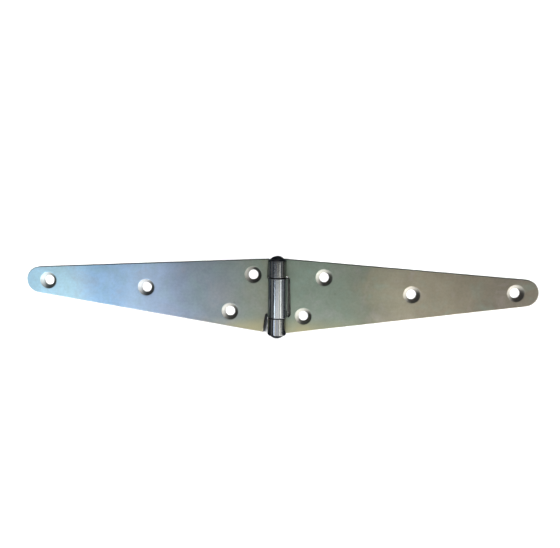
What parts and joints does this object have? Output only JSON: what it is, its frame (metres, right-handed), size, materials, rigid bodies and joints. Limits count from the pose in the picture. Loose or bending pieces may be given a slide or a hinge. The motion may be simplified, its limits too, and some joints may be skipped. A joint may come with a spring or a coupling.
{
  "type": "strap hinge",
  "caption": "Open double strap hinge: two long tapered sheet-steel leaves with round tips and countersunk holes, rolled round a riveted pin.",
  "frame": {"origin": "on the mounting face straight under the middle of the hinge pin, which is the bottom centre of the open hinge", "axes": "+X along the strap of the outer-knuckle leaf, +Y along the pin, +Z out of the mounting face towards the barrel and the countersinks"},
  "size_m": [0.3045, 0.0492, 0.0118],
  "materials": {
    "zinc_leaf": "satin zinc plate with a faint yellow-green passivation",
    "zinc_leaf_centre": "satin zinc plate with a faint blue passivation",
    "zinc_pin": "zinc plated wire, ends headed over"
  },
  "bodies": {
    "outer_leaf": {"outer_knuckle_leaf": "zinc_leaf", "hinge_pin": "zinc_pin"},
    "centre_leaf": {"centre_knuckle_leaf": "zinc_leaf_centre"}
  },
  "joints": [
    {"name": "leaf_swing", "type": "hinge", "parent": "outer_leaf", "child": "centre_leaf", "pos_m": [0, 0, 0.0055], "axis": [0, 1, 0], "range_deg": [-80, 180]}
  ]
}
